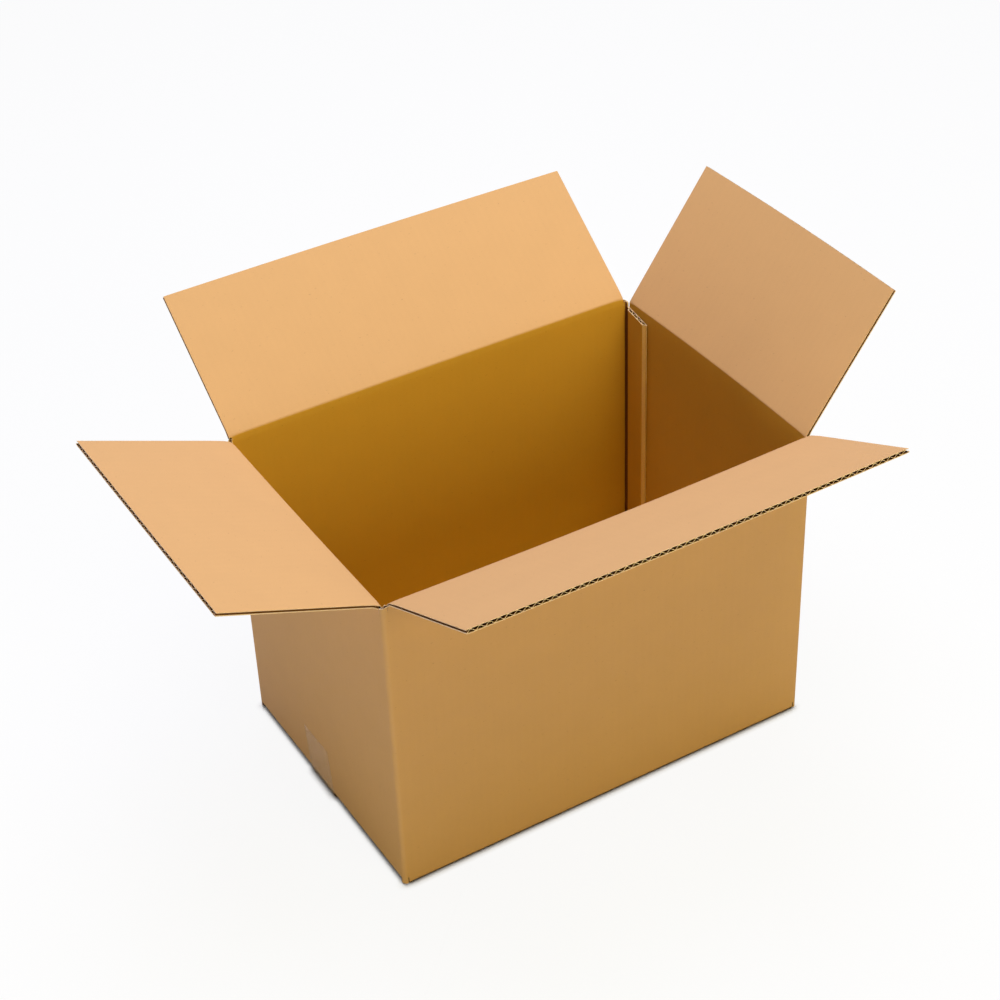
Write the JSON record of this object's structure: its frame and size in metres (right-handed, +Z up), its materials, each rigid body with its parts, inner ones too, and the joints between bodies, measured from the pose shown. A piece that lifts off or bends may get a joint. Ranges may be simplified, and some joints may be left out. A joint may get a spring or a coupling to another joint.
{
  "type": "open cardboard box",
  "caption": "Open slotted carton of corrugated board with hinged top flaps, folded and taped bottom flaps and an inside glue tab.",
  "frame": {"origin": "centre of the underside of the box", "axes": "+X runs right along the long walls, +Y to the back wall, +Z up"},
  "size_m": [0.6842, 0.5553, 0.4524],
  "materials": {
    "kraft_board": "matt kraft paper",
    "clear_tape": "clear film with glossy face"
  },
  "bodies": {
    "carton": {"carton": "kraft_board", "seam_tape": "clear_tape"},
    "front_flap": {"front_flap": "kraft_board"},
    "back_flap": {"back_flap": "kraft_board"},
    "left_flap": {"left_flap": "kraft_board"},
    "right_flap": {"right_flap": "kraft_board"}
  },
  "joints": [
    {"name": "front_flap_fold", "type": "hinge", "parent": "carton", "child": "front_flap", "pos_m": [0, -0.15, 0.33], "axis": [-1, 0, 0], "range_deg": [-109.9, 155.1]},
    {"name": "back_flap_fold", "type": "hinge", "parent": "carton", "child": "back_flap", "pos_m": [0, 0.15, 0.33], "axis": [1, 0, 0], "range_deg": [-121.9, 143.1]},
    {"name": "left_flap_fold", "type": "hinge", "parent": "carton", "child": "left_flap", "pos_m": [-0.225, 0, 0.3257], "axis": [0, 1, 0], "range_deg": [-106.2, 158.8]},
    {"name": "right_flap_fold", "type": "hinge", "parent": "carton", "child": "right_flap", "pos_m": [0.225, 0, 0.3257], "axis": [0, -1, 0], "range_deg": [-138.9, 126.1]}
  ]
}
